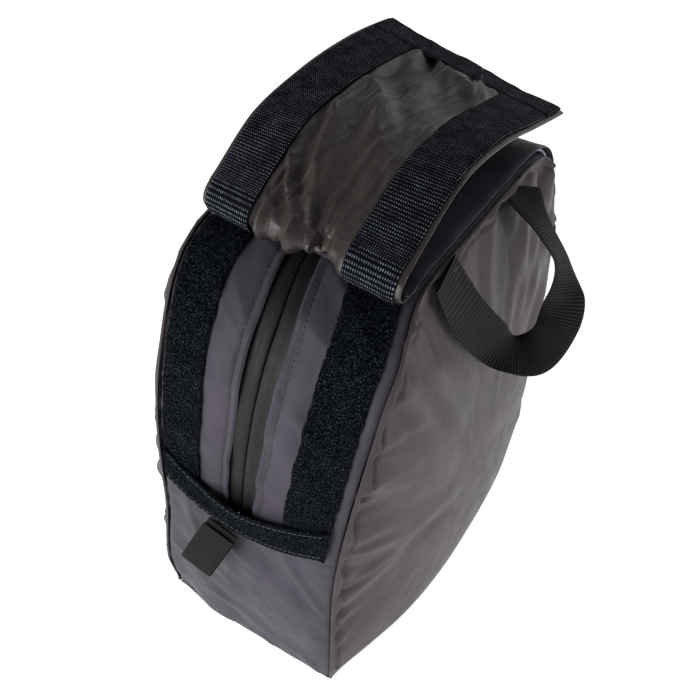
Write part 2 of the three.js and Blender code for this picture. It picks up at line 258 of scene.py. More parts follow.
def grid_quads(ni, nj):
    """Faces of a closed slab made of a top grid followed by a bottom grid."""
    index = np.arange(ni * nj).reshape(ni, nj)
    low = index + ni * nj

    def cells(g):
        return np.stack([g[:-1, :-1], g[1:, :-1], g[1:, 1:], g[:-1, 1:]], -1).reshape(-1, 4)

    def wall(a, b):
        return np.stack([a[:-1], a[1:], b[1:], b[:-1]], -1)

    return np.vstack([
        cells(index),
        cells(low)[:, ::-1],
        wall(index[:, 0], low[:, 0])[:, ::-1],
        wall(index[:, -1], low[:, -1]),
        wall(index[0, :], low[0, :]),
        wall(index[-1, :], low[-1, :])[:, ::-1],
    ])


def add_slab(name, grid, thick, uv, soft_u=True, soft_v=False):
    """A closed sheet round a middle grid, with edges that thin out where soft."""
    ni, nj, _ = grid.shape
    normal = grid_normals(grid)
    half = np.full((ni, nj), thick / 2)
    if soft_u:
        half[[0, -1], :] *= 0.35
    if soft_v:
        half[:, [0, -1]] *= 0.35
    top = grid + normal * half[..., None]
    low = grid - normal * half[..., None]
    points = np.vstack([top.reshape(-1, 3), low.reshape(-1, 3)])
    quads = grid_quads(ni, nj)
    flat_uv = np.vstack([uv.reshape(-1, 2)] * 2)
    return outward(add_mesh(name, points, quads, flat_uv))


def outward(obj):
    """Turns the faces outward, so that the closed mesh has positive volume."""
    bm = bmesh.new()
    bm.from_mesh(obj.data)
    if bm.calc_volume(signed=True) < 0:
        bmesh.ops.reverse_faces(bm, faces=bm.faces)
        bm.to_mesh(obj.data)
    bm.free()
    return obj


def left_pull(s):
    """How far the stuffing draws in the left seam at arc length s."""
    return LEFT_PULL * ease(s, 30, 120) * (1 - ease(s, 225, 320))


def right_push(s):
    """How far the stuffing pushes out the right seam at arc length s."""
    return RIGHT_PUSH * ease(s, 90, 260) * (1 - ease(s, 265, 325))


def follow_seams(x, s):
    """Moves points of the gusset sideways with its two seams."""
    drawn = np.where(x < 0, -x / HALF_W * left_pull(s), 0)
    return x + drawn + right_push(s) * ease(x, -45, 25)


def front_corner(y, z, x):
    """Rounds the padded lower front corner on the left."""
    near = (1 - ease(z, 0, 42)) * ease(-x, 30, HALF_W) * (y < -100)
    return y + CORNER_ROUND * near


def arch_grid(x, s, offset):
    """Grid of points over arrays x and s (both 2-D), at an outward offset."""
    y, z = arch_point(s, offset)
    return np.stack([follow_seams(x, s), front_corner(y, z, x), z], -1)


def span(low, high, count):
    return np.linspace(low, high, count)


def finish(obj, material, body, slot, *replaced):
    obj.data.materials.clear()
    obj.data.materials.append(material)
    if body:
        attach(obj, body)
    if replaced:
        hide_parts(*replaced)
    return obj


# ---------------------------------------------------------------- materials
class Nodes:
    """Small helper that builds one node material."""

    def __init__(self, name):
        self.material = bpy.data.materials.new(name)
        self.material.use_nodes = True
        self.tree = self.material.node_tree
        self.shader = self.tree.nodes["Principled BSDF"]

    def add(self, kind, **values):
        node = self.tree.nodes.new(kind)
        for key, value in values.items():
            if key in node.inputs:
                node.inputs[key].default_value = value
            else:
                setattr(node, key, value)
        return node

    def link(self, a, b):
        self.tree.links.new(a, b)

    def place(self, scale, uv=False):
        """Coordinates in millimetres times scale: from the UV map, or from the frame."""
        coord = self.add("ShaderNodeTexCoord")
        mapping = self.add("ShaderNodeMapping")
        factor = [v * (1 if uv else 1000) for v in scale]
        mapping.inputs["Scale"].default_value = factor
        self.link(coord.outputs["UV" if uv else "Object"], mapping.inputs["Vector"])
        return mapping.outputs["Vector"]

    def noise(self, scale, detail=3, rough=0.5, uv=False, stretch=(1, 1, 1)):
        node = self.add("ShaderNodeTexNoise", Scale=1.0, Detail=detail, Roughness=rough)
        self.link(self.place([scale * v for v in stretch], uv), node.inputs["Vector"])
        return node.outputs["Fac"]

    def wave(self, pitch, axis, distort=0.0):
        node = self.add("ShaderNodeTexWave", wave_type="BANDS", bands_direction=axis,
                        Scale=1.0, Distortion=distort)
        self.link(self.place([0.314 / pitch] * 3, True), node.inputs["Vector"])
        return node.outputs["Fac"]

    def ramp(self, fac, *stops):
        node = self.add("ShaderNodeValToRGB")
        ends = node.color_ramp.elements
        while len(ends) < len(stops):
            ends.new(0.5)
        for end, (place, colour) in zip(ends, stops):
            end.position = place
            if not hasattr(colour, "__len__"):
                colour = (colour, colour, colour)
            end.color = (*colour, 1)
        self.link(fac, node.inputs["Fac"])
        return node.outputs["Color"]

    def mix(self, fac, a, b, kind="MIX"):
        node = self.add("ShaderNodeMix", data_type="RGBA", blend_type=kind)
        for value, socket in ((fac, node.inputs[0]), (a, node.inputs[6]), (b, node.inputs[7])):
            if isinstance(value, bpy.types.NodeSocket):
                self.link(value, socket)
            elif hasattr(value, "__len__"):
                socket.default_value = (*value, 1)
            else:
                socket.default_value = value
        return node.outputs[2]

    def maths(self, kind, a, b):
        node = self.add("ShaderNodeMath", operation=kind)
        for value, socket in ((a, node.inputs[0]), (b, node.inputs[1])):
            if isinstance(value, bpy.types.NodeSocket):
                self.link(value, socket)
            else:
                socket.default_value = value
        return node.outputs[0]

    def bump(self, height, strength, distance, after=None):
        node = self.add("ShaderNodeBump", Strength=strength, Distance=distance * MM)
        self.link(height, node.inputs["Height"])
        if after is not None:
            self.link(after, node.inputs["Normal"])
        return node.outputs["Normal"]

    def finish(self, colour, rough, normal=None, sheen=0.0, tint=(1, 1, 1), metal=0.0, spec=0.5):
        shader = self.shader
        for name, value in (("Base Color", colour), ("Roughness", rough), ("Normal", normal)):
            if isinstance(value, bpy.types.NodeSocket):
                self.link(value, shader.inputs[name])
            elif value is not None:
                shader.inputs[name].default_value = value
        shader.inputs["Sheen Weight"].default_value = sheen
        shader.inputs["Sheen Roughness"].default_value = 0.45
        shader.inputs["Sheen Tint"].default_value = (*tint, 1)
        shader.inputs["Metallic"].default_value = metal
        shader.inputs["Specular IOR Level"].default_value = spec
        return self.material


def woven(name, colour, rough, sheen, tint, pitch=0.55, crinkle=0.0, spec=0.5):
    """Plain-woven bag cloth: fine weave, uneven dye and, where asked, a creased surface."""
    m = Nodes(name)
    light = tuple(min(1, c * 1.22) for c in colour)
    dark = tuple(c * 0.8 for c in colour)
    base = m.ramp(m.noise(0.02, 5, 0.6), (0.3, dark), (0.7, light))
    thread = m.maths("MULTIPLY", m.wave(pitch, "X"), m.wave(pitch, "Y"))
    base = m.mix(0.22, base, m.ramp(thread, (0.0, 0.35), (0.6, 1.0)), "MULTIPLY")
    roughness = m.ramp(m.noise(0.05, 4, 0.6), (0.25, rough - 0.07), (0.75, rough + 0.08))
    normal = m.bump(m.noise(0.09, 5, 0.62), 0.35, 1.6 + crinkle)
    if crinkle > 1:
        folds = m.noise(0.035, 1, 0.4, True, (1.4, 0.6, 1))
        crease = m.maths("ABSOLUTE", m.maths("SUBTRACT", folds, 0.5), 0)
        normal = m.bump(crease, 0.5, 6.0, normal)
    normal = m.bump(thread, 0.25, 0.12, normal)
    return m.finish(base, roughness, normal, sheen, tint, spec=spec)


def loop_pile():
    """Fuzzy loop tape: near black, with blue-grey flecks painted on as sheen on the loops."""
    m = Nodes("loop_pile")
    curl = m.noise(1.5, 3, 0.7)
    # Painted sheen: the high points of the curled loops are painted pale blue-grey, standing in for light
    # caught by the fibres.
    base = m.ramp(curl, (0.46, (0.001, 0.0015, 0.002)), (0.56, (0.004, 0.005, 0.008)),
                  (0.67, (0.075, 0.094, 0.115)))
    normal = m.bump(curl, 1.0, 1.4)
    normal = m.bump(m.noise(0.35, 3, 0.6), 0.5, 1.2, normal)
    return m.finish(base, 0.95, normal, 0.0, (0.55, 0.62, 0.75), spec=0.02)


def hook_pile():
    """Stiff hook tape: rows of small hooks standing on a dark woven ground."""
    m = Nodes("hook_rows")
    dots = m.add("ShaderNodeTexVoronoi", feature="F1", Scale=1.0, Randomness=0.12)
    m.link(m.place((0.72, 0.5, 1), True), dots.inputs["Vector"])
    hooks = m.ramp(dots.outputs["Distance"], (0.08, 1.0), (0.32, 0.0))
    patch = m.ramp(m.noise(0.12, 4, 0.6), (0.35, 0.25), (0.65, 1.0))
    # Painted highlight: the hook tops are painted pale as glints, brighter in uneven patches.
    shine = m.mix(1.0, hooks, patch, "MULTIPLY")
    base = m.mix(shine, (0.002, 0.0025, 0.0045), (0.30, 0.33, 0.39))
    normal = m.bump(hooks, 0.9, 0.7)
    normal = m.bump(m.wave(1.3, "Y"), 0.3, 0.3, normal)
    return m.finish(base, 0.85, normal, 0.0, (0.7, 0.75, 0.9), spec=0.04)


def ribbed_webbing():
    """Ribbed polyester webbing: ribs across the width, fine yarns along it."""
    m = Nodes("ribbed_webbing")
    rib = m.wave(1.9, "Y", distort=0.15)
    yarn = m.wave(0.62, "X")
    base = m.ramp(rib, (0.15, (0.002, 0.0016, 0.0014)), (0.85, (0.016, 0.013, 0.0105)))
    base = m.mix(0.4, base, m.ramp(yarn, (0.0, 0.35), (0.7, 1.0)), "MULTIPLY")
    worn = m.ramp(m.noise(0.06, 4, 0.6), (0.35, 0.75), (0.7, 1.25))
    base = m.mix(1.0, base, worn, "MULTIPLY")
    normal = m.bump(rib, 0.6, 0.5)
    normal = m.bump(yarn, 0.35, 0.2, normal)
    return m.finish(base, 0.65, normal, 0.02, (1.0, 0.86, 0.72), spec=0.1)


def coated_tape():
    """Zipper tape with a smooth matt waterproof coating."""
    m = Nodes("coated_tape")
    base = m.ramp(m.noise(0.04, 4, 0.55), (0.3, (0.007, 0.007, 0.008)), (0.7, (0.012, 0.012, 0.013)))
    roughness = m.ramp(m.noise(0.25, 3, 0.6), (0.3, 0.42), (0.7, 0.56))
    normal = m.bump(m.noise(0.8, 3, 0.6), 0.25, 0.15)
    normal = m.bump(m.wave(1.5, "Y"), 0.12, 0.15, normal)
    return m.finish(base, roughness, normal, 0.0, spec=0.12)


def plain(name, colour, rough, metal=0.0, bump=0.3, scale=0.8):
    """Moulded part, foam, board, enamel or thread, with small-scale unevenness."""
    m = Nodes(name)
    spread = m.noise(scale, 4, 0.6)
    base = m.ramp(spread, (0.3, tuple(c * 0.8 for c in colour)), (0.7, tuple(c * 1.15 for c in colour)))
    roughness = m.ramp(m.noise(scale * 0.3, 3, 0.5), (0.3, rough - 0.06), (0.7, rough + 0.08))
    return m.finish(base, roughness, m.bump(spread, bump, 0.2), metal=metal)


LOOKS = {
    "gusset_fabric": woven("gusset_cloth", (0.046, 0.040, 0.054), 0.48, 0.0, (0.8, 0.76, 0.92),
                           spec=0.12),
    "side_fabric": woven("side_cloth", (0.056, 0.047, 0.050), 0.40, 0.0, (0.85, 0.8, 0.8),
                         crinkle=0.2, spec=0.07),
    "flap_fabric": woven("flap_cloth", (0.036, 0.030, 0.028), 0.36, 0.0, (0.95, 0.85, 0.8),
                         crinkle=2.2, spec=0.35),
    "hook_tape": hook_pile(),
    "loop_tape": loop_pile(),
    "coated_tape": coated_tape(),
    "webbing": ribbed_webbing(),
    "zip_coil": plain("zip_coil", (0.010, 0.010, 0.011), 0.4),
    "zip_metal": plain("zip_enamel", (0.03, 0.03, 0.032), 0.35, 0.6),
    "foam": plain("foam", (0.3, 0.3, 0.29), 0.9, bump=0.8),
    "board": plain("board", (0.03, 0.03, 0.03), 0.7),
    "binding": woven("binding_cloth", (0.012, 0.012, 0.013), 0.7, 0.1, (1, 1, 1)),
}
THREAD = plain("thread", (0.006, 0.006, 0.007), 0.6, scale=3.0)
PALE_THREAD = plain("pale_thread", (0.075, 0.08, 0.10), 0.6, scale=3.0)


# ---------------------------------------------------------------- gusset, all but the sides
def slab_on_arch(name, x0, x1, s0, s1, nx, ns, offset, thick, lift):
    """A closed strip that follows the arch from s0 to s1, raised by lift(x, s)."""
    x, s = np.meshgrid(span(x0, x1, nx), span(s0, s1, ns), indexing="ij")
    grid = arch_grid(x, s, offset + lift(x, s))
    return add_slab(name, grid, thick, np.stack([x, s], -1))


def gusset_relief(x, s):
    """Soft unevenness of the gusset cloth, with puckers beside its side seams."""
    edge = np.minimum(HALF_W - np.abs(x), 40)
    soft = 1.2 * fabric_noise(x / 24, s / 34, 11)
    slant = 1.3 * (ridges((s + 0.9 * x) / 26, (x - 0.9 * s) / 60, 15) - 0.5)
    pucker = 0.8 * ridges(s / 14, x / 60, 21) * np.exp(-edge / 9)
    drop = -1.6 * np.exp(-edge / 2.2)
    return (soft + slant) * ease(edge, 0, 12) + pucker + drop


def zip_panel_lift(x, s):
    """The zipped gusset: a rolled edge at the zipper and a soft crown beside it."""
    edge = np.abs(np.abs(x - ZIP_X) - ZIP_OPEN)
    roll = 0.7 * np.exp(-((edge - 1.2) / 1.6) ** 2)
    channel = -0.55 * np.exp(-((edge - 4.8) / 0.9) ** 2)
    crown = 1.6 * np.exp(-((edge - 12) / 7) ** 2) * (0.7 + 0.5 * fabric_noise(x / 30, s / 24, 5))
    return gusset_relief(x, s) + roll + channel + crown


def wall_lift(x, s):
    """The front and rear panels: a soft outward bow with slanting folds."""
    side = np.cos(np.clip(x / HALF_W, -1, 1) * math.pi / 2) ** 0.6
    height = np.minimum(s, TOTAL - s)
    sag = 3.2 * side * np.sin(np.clip(height / front_at(PANEL_Z), 0, 1) * math.pi) ** 0.8
    fold = 1.1 * ridges(x / 24 + height / 70, height / 60, 33) * ease(height, 5, 60)
    return gusset_relief(x, s) + sag + fold * side


def build_gusset():
    front, rear = front_at(PANEL_Z), rear_at(PANEL_Z)
    cloth = LOOKS["gusset_fabric"]
    mid = -CLOTH / 2
    left = slab_on_arch("zip_panel_left_cloth", -HALF_W, ZIP_X - ZIP_OPEN, front, rear,
                        46, 300, mid, CLOTH, zip_panel_lift)
    finish(left, cloth, "bag", "gusset_fabric", "zip_panel_left")
    right = slab_on_arch("zip_panel_right_cloth", ZIP_X + ZIP_OPEN, HALF_W, front, rear,
                         46, 300, mid, CLOTH, zip_panel_lift)
    finish(right, cloth, "bag", "gusset_fabric", "zip_panel_right")
    for name, s0, s1 in (("front", 1.8, front - 0.3), ("rear", rear + 0.3, TOTAL - 1.8)):
        panel = slab_on_arch(f"{name}_panel_cloth", -HALF_W, HALF_W, s0, s1, 90, 90,
                             mid, CLOTH, wall_lift)
        finish(panel, cloth, "bag", "gusset_fabric", f"{name}_panel")


def zip_tape_lift(x, s):
    """Each zipper tape dips at the coil and swells beside it."""
    inner = np.abs(x - ZIP_X) - ZIP_TAPE_IN
    return -0.35 * np.exp(-inner / 0.5) + 0.45 * np.exp(-((inner - 3.2) / 2.2) ** 2)


def build_zipper():
    start, end = front_at(PANEL_Z) + 1, rear_at(PANEL_Z) - 1
    middle = -CLOTH - GAP - ZIP_TAPE / 2
    for side, sign in (("right", 1), ("left", -1)):
        edges = sorted([ZIP_X + sign * ZIP_TAPE_IN, ZIP_X + sign * ZIP_TAPE_OUT])
        teeth = sorted([ZIP_X + sign * COIL_IN, ZIP_X + sign * COIL_OUT])
        coil = slab_on_arch(f"zipper_coil_{side}_row", teeth[0], teeth[1], start + 6, end - 6, 6, 160,
                            middle - 1.5, COIL, lambda x, s: 0 * x)
        finish(coil, LOOKS["zip_coil"], "bag", "zip_coil", f"zipper_coil_{side}")
        half = slab_on_arch(f"zipper_tape_{side}_coated", edges[0], edges[1], start, end, 40, 160,
                            middle, ZIP_TAPE, zip_tape_lift)
        finish(half, LOOKS["coated_tape"], "bag", "coated_tape", f"zipper_tape_{side}")


def build_bindings():
    for side, sign in (("right", 1), ("left", -1)):
        edges = sorted([sign * BINDING_IN, sign * BINDING_OUT])
        tape = slab_on_arch(f"seam_binding_{side}_tape", edges[0], edges[1], 6, TOTAL - 6, 8, 300,
                            -CLOTH - 0.9, 1.2, gusset_relief)
        finish(tape, LOOKS["binding"], "bag", "binding", f"seam_binding_{side}")


def build_base():
    x, y = np.meshgrid(span(-HALF_W, HALF_W, 40), span(-BASE_HALF_L, BASE_HALF_L, 80), indexing="ij")
    grid = np.stack([x, front_corner(y, 0 * y, x), 0 * x + BASE_CLOTH / 2], -1)
    base = add_slab("base_panel_cloth", grid, BASE_CLOTH, np.stack([x, y], -1), soft_u=False)
    finish(base, LOOKS["gusset_fabric"], "bag", "gusset_fabric", "base_panel")


def pile_lift(x, s):
    """Loop pile on the gusset: the cloth's own relief and a fuzzy surface."""
    fuzz = 0.35 * lattice_noise(x / 0.9, s / 0.9, 41) + 0.25 * lattice_noise(x / 2.2, s / 2.6, 42)
    return gusset_relief(x, s) + fuzz + 0.25


def build_loop_tapes():
    start, end = front_at(PANEL_Z + 3), rear_at(PANEL_Z)
    for side, sign, edges in (("right", 1, (TAPE_IN, TAPE_OUT)), ("left", -1, LEFT_TAPE)):
        x, s = np.meshgrid(span(edges[0], edges[1], 34), span(start, end, 560), indexing="ij")
        wander = 0.5 * lattice_noise(s / 3.0, 0 * s + 3, 51 + sign) + 0.8 * lattice_noise(s / 40, 0 * s, 53)
        grid = arch_grid(x + wander, s, GAP + TAPE / 2 + pile_lift(x, s))
        tape = add_slab(f"loop_tape_{side}_pile", grid, TAPE, np.stack([x, s], -1))
        finish(tape, LOOKS["loop_tape"], "bag", "loop_tape", f"loop_tape_{side}")


def strip_grid(x, up, extra=0.0):
    """Points of the cross strip: x across, up from 0 to 1 over its height."""
    z = STRIP_Z + STRIP_SAG * (x / STRIP_HALF) ** 2 + STRIP_H * up
    bow = 3.2 * np.exp(-(x / 26) ** 2) * ease(up, 0, 1)
    s = front_arc(z)
    y, zz = arch_point(s, STRIP_RISE + TAPE / 2 + 0.9 + bow + extra)
    return np.stack([follow_seams(x, s), y, zz], -1)


def build_cross_strip():
    x, up = np.meshgrid(span(-STRIP_HALF, STRIP_HALF, 170), span(0, 1, 44), indexing="ij")
    fuzz = 0.32 * lattice_noise(x / 0.9, up * 26, 61) + 0.3 * lattice_noise(x / 2.5, up * 9, 62)
    rim = -1.0 * (np.exp(-up / 0.07) + np.exp(-(1 - up) / 0.07))
    groove = -0.7 * (np.exp(-((up - 0.12) / 0.03) ** 2) + np.exp(-((up - 0.88) / 0.03) ** 2))
    grid = strip_grid(x, up, fuzz + rim * 0.4 + groove)
    strip = add_slab("cross_strip_pile", grid, TAPE, np.stack([x, up * STRIP_H], -1), True, True)
    finish(strip, LOOKS["loop_tape"], "bag", "loop_tape", "cross_strip")


def stitch_rings(centre, up, size):
    """Points of one thread stitch: five rings of six, thin at both ends."""
    ahead = centre[-1] - centre[0]
    ahead /= np.linalg.norm(ahead)
    side = np.cross(ahead, up[2])
    side /= np.linalg.norm(side)
    points = []
    for mark, (c, u) in enumerate(zip(centre, up)):
        wide = size * (0.45, 0.9, 1.0, 0.9, 0.45)[mark]
        rise = (0.0, 0.8, 1.0, 0.8, 0.0)[mark] * size * 0.5
        for turn in range(6):
            a = turn * math.pi / 3
            points.append(c + side * math.cos(a) * wide / 2 + u * (math.sin(a) * wide / 2 + rise))
    return points


def stitch_faces(base):
    """Faces of one stitch whose first point is number base."""
    faces = []
    for ring in range(4):
        for turn in range(6):
            a = base + ring * 6 + turn
            b = base + ring * 6 + (turn + 1) % 6
            faces.append((a, b, b + 6, a + 6))
    faces.append(tuple(base + k for k in range(5, -1, -1)))
    faces.append(tuple(base + 24 + k for k in range(6)))
    return faces


def add_stitches(name, line, out, look, body, slot, length=2.3, gap=1.3, size=0.55):
    """A row of raised thread stitches along a line of points, standing out along out."""
    step = np.linalg.norm(np.diff(line, axis=0), axis=1)
    along = np.concatenate([[0], np.cumsum(step)])
    points, faces = [], []
    place = 0.5
    while place + length < along[-1]:
        marks = np.linspace(place, place + length, 5)
        centre = np.stack([np.interp(marks, along, line[:, k]) for k in range(3)], -1)
        up = np.stack([np.interp(marks, along, out[:, k]) for k in range(3)], -1)
        faces += stitch_faces(len(points))
        points += stitch_rings(centre, up, size)
        place += length + gap
    obj = add_mesh(name, np.array(points), faces)
    outward(obj)
    return finish(obj, look, body, slot)


def build_stitching():
    start, end = front_at(PANEL_Z + 16), rear_at(PANEL_Z)
    s = span(start, end, 400)
    for side, sign in (("right", 1), ("left", -1)):
        x = np.full_like(s, ZIP_X + sign * (ZIP_OPEN + 4.8))
        lift = zip_panel_lift(x, s)
        line = arch_grid(x, s, lift - 0.02)
        out = arch_grid(x, s, lift + 1) - line
        add_stitches(f"zip_stitches_{side}", line, out, THREAD, "bag", "binding")
    for row, up in (("low", 0.12), ("high", 0.88)):
        x = span(2 - STRIP_HALF, STRIP_HALF - 2, 200)
        line = strip_grid(x, np.full_like(x, up), 0.35)
        out = np.tile([0.0, -1.0, 0.1], (len(x), 1))
        add_stitches(f"strip_stitches_{row}", line, out, PALE_THREAD, "bag", "binding",
                     length=2.6, gap=0.9, size=0.4)


# ---------------------------------------------------------------- stuffed sides
def side_bulge(y, z):
    up = np.maximum(z - SPRING, 0) / (HEIGHT - SPRING)
    reach = ((np.abs(y) / HALF_L) ** 4 + up ** 4) ** 0.25
    low = np.where(z < 60, 1 - 0.14 * ((60 - z) / 60) ** 2, 1)
    tuck = np.clip((z - 1.5) / 16, 0, 1)
    under = np.sqrt(1 - (1 - tuck) ** 2)
    return BULGE * np.maximum(1 - np.minimum(reach, 1) ** 2.6, 0) * low * under


def creases(s, depth, seed, count, reach, width, slant):
    """Gathers that run in from the seam: sharp valleys and round ridges, fading inward."""
    rng = np.random.RandomState(seed)
    total = np.zeros_like(s)
    for place in rng.uniform(0, 1, count) * TOTAL:
        size = rng.uniform(0.5, 1.0)
        far = rng.uniform(0.5, 1.3) * reach
        lean = rng.uniform(-1, 1) * slant
        wide = rng.uniform(0.6, 1.5) * width
        across = (s - place - lean * depth) / (wide * (1 + depth / far))
        total += -size * np.exp(-across ** 2) * np.exp(-(depth / far) ** 1.3)
        total += 0.7 * size * np.exp(-((across - 1.7) / 1.1) ** 2) * np.exp(-(depth / far) ** 1.3)
    return total


def side_relief(y, z, s, depth, seed, gather_zone):
    """Wrinkles of a stuffed side: gathers at the seam and long slow folds."""
    hem = ease(gather_zone, 0.12, 0.5)
    near = 2.3 * creases(s, depth, seed, 46, 26, 3.6, 0.6)
    long = 2.7 * creases(s, depth, seed + 1, 20, 95, 8.5, 0.7)
    sweep = 1.1 * ridges((y + 0.8 * z) / 60, (z - 0.8 * y) / 240, seed + 2)
    lumps = 1.3 * fabric_noise(y / 60, z / 60, seed + 3)
    return ((near + long) * hem + (sweep + lumps) * ease(depth, 4, 40)) * ease(depth, 0, 3)


def side_grid():
    """Rings from the middle of a side to its seam: shares, y, z, arc length and depth."""
    rings = np.concatenate([span(0.02, 0.9, 58), 1 - 0.1 * (1 - span(0, 1, 22)[1:]) ** 1.5])
    around_s = span(0, TOTAL, 420)
    y, z = arch_point(around_s, 0)
    bottom = span(HALF_L, -HALF_L, 122)[1:-1]
    y = np.concatenate([y, bottom])
    z = np.maximum(np.concatenate([z, 0 * bottom]), 1.5)
    s = np.concatenate([around_s, TOTAL + (HALF_L - bottom)])
    mid_y, mid_z = SIDE_MIDDLE
    t = rings[:, None]
    gy = mid_y + (y - mid_y)[None] * t
    gz = mid_z + (z - mid_z)[None] * t
    depth = (1 - t) * np.hypot(y - mid_y, z - mid_z)[None]
    return t, gy, gz, np.repeat(s[None], len(rings), 0), depth


def side_height(gy, gz, gs, depth, t, seed):
    """How far a side's cloth stands out: bulge, wrinkles, and a lip at the seam."""
    out = side_bulge(gy, gz) + side_relief(gy, gz, gs, depth, seed, t)
    lip = 1.3 * np.exp(-((depth - 1.6) / 1.5) ** 2) - 1.4 * np.exp(-((depth - 5.0) / 1.6) ** 2)
    return np.maximum(out + lip * (gz > 12), -0.8)


def build_side(side, sign, seed):
    """A stuffed side as one closed shell, with its sheet of padding behind it."""
    t, gy, gz, gs, depth = side_grid()
    out = side_height(gy, gz, gs, depth, t, seed)
    shift = right_push(gs) if sign > 0 else -left_pull(gs)
    x_out = SIDE_X + out + CLOTH + shift * ease(t, 0.3, 1.0)
    if sign < 0:
        gy = front_corner(gy, gz, np.full_like(gy, -HALF_W) * ease(t, 0.5, 1.0))
    shell = add_dish(f"side_panel_{side}_cloth", gy, gz, x_out, CLOTH, sign)
    finish(shell, LOOKS["side_fabric"], "bag", "side_fabric", f"side_panel_{side}")
    keep = slice(0, np.searchsorted(t[:, 0], FOAM_REACH))
    inner = x_out[keep] - CLOTH - FOAM_GAP
    foam = add_dish(f"side_foam_{side}_sheet", gy[keep], gz[keep], inner, FOAM, sign)
    finish(foam, LOOKS["foam"], "bag", "foam", f"side_foam_{side}")


def add_dish(name, gy, gz, x_out, thick, sign):
    """A closed dish from rings of points, from the middle ring out to the rim."""
    ni, nj = gy.shape
    x_in = x_out - thick
    hub = [gy[0].mean(), gz[0].mean()]
    points = np.vstack([
        np.stack([sign * x_out, gy, gz], -1).reshape(-1, 3),
        np.stack([sign * x_in, gy, gz], -1).reshape(-1, 3),
        [[sign * x_out[0].mean(), *hub], [sign * x_in[0].mean(), *hub]],
    ])
    top = np.arange(ni * nj).reshape(ni, nj)
    after = np.roll(top, -1, axis=1)
    low, low_after = top + ni * nj, after + ni * nj
    quads = np.vstack([
        np.stack([top[:-1], top[1:], after[1:], after[:-1]], -1).reshape(-1, 4),
        np.stack([low[:-1], low_after[:-1], low_after[1:], low[1:]], -1).reshape(-1, 4),
        np.stack([top[-1], low[-1], low_after[-1], after[-1]], -1),
    ]).tolist()
    quads += [(2 * ni * nj, p, q) for p, q in zip(top[0], after[0])]
    quads += [(2 * ni * nj + 1, q, p) for p, q in zip(low[0], low_after[0])]
    return outward(add_mesh(name, points, quads, points[:, 1:], 60))


# ---------------------------------------------------------------- flap
def fold_path(count):
    """Lower layer from the rear seam over the top: rows of (y, z) and their arc lengths."""
    mid = 0.9 + 2 * TAPE + FLAP_CLOTH / 2
    start, end = rear_at(PANEL_Z - 22), front_at(HEIGHT - 2.2)
    s = span(start, end, count)
    y, z = arch_point(s, mid)
    return np.stack([y, z], -1), s


def free_flap(v, x, rise):
    """Point of the folded-back flap: v counts lengths from the fold, below 0 on the roll."""
    t = np.clip(np.asarray(v, float) / (len(FOLDS) - 1), 0, 1)
    here = smooth_line(FOLDS, t)
    ahead, behind = smooth_line(FOLDS, t + 0.01), smooth_line(FOLDS, t - 0.01)
    d = ahead - behind
    turn = np.clip(-np.asarray(v, float) / ROLL_REACH, 0, 1)
    curl = smooth_line(ROLL, turn)
    slope = smooth_line(ROLL, turn - 0.02) - smooth_line(ROLL, turn + 0.02)
    under = (np.asarray(v) < 0)[..., None]
    here = np.where(under, np.concatenate([curl, 0 * curl[..., :1]], -1), here)
    d = np.where(under, np.concatenate([slope, 0 * slope[..., :1]], -1), d)
    size = np.hypot(d[..., 0], d[..., 1])
    back = 1 - ease(v, 0.0, 1.6)
    left = np.clip((1 - x / FLAP_HALF) / 2, 0, 1)
    y = here[..., 0] - d[..., 1] / size * rise + FOLD_SKEW * left * back
    z = here[..., 1] + d[..., 0] / size * rise - here[..., 2] * x / FLAP_HALF
    z = z - 10.0 * ease(v, 1.0, 4.0) * x / FLAP_HALF
    return np.stack([x + 0 * y, y, z], -1)


def liner_relief(x, v, seed=81):
    """Crinkled liner: gathered at the fold, diagonal creases further back."""
    inside = ease(33 - np.abs(x), 0, 7)
    near = np.exp(-np.maximum(v, 0) / 1.1)
    along = v * FLAP_STEP
    warp = 0.35 * fabric_noise(x / 22, v * 1.2, seed + 2)
    gather = 4.8 * (ridges(x / 10 + 0.5 * v + warp, v * 0.5, seed) - 0.5) * near
    fine = 2.4 * (ridges(x / 5.5 - 0.8 * v + warp, v * 0.8, seed + 4) - 0.5) * (0.35 + 0.65 * near)
    swept = 5.2 * (ridges((x + 0.45 * along) / 14 + warp, (along - 0.45 * x) / 48, seed + 6) - 0.5)
    slow = 2.0 * fabric_noise(x / 30, v * 1.1, seed + 9)
    gather = gather + swept * (1 - 0.4 * near)
    return (gather + fine + slow) * inside


def flap_crown(x, y):
    """Rise of the lower layer over the zipper, lower near the fold and at the rear."""
    inside = np.where(np.abs(x) < 27, np.cos(math.pi * x / 54) ** 2, 0)
    fade = np.clip((y + 78) / 14, 0, 1)
    down = np.where(y > 100, np.maximum(0, 1 - (y - 100) / 30), 1)
    return CROWN * inside * (0.35 + 0.65 * fade) * (0.3 + 0.7 * down)


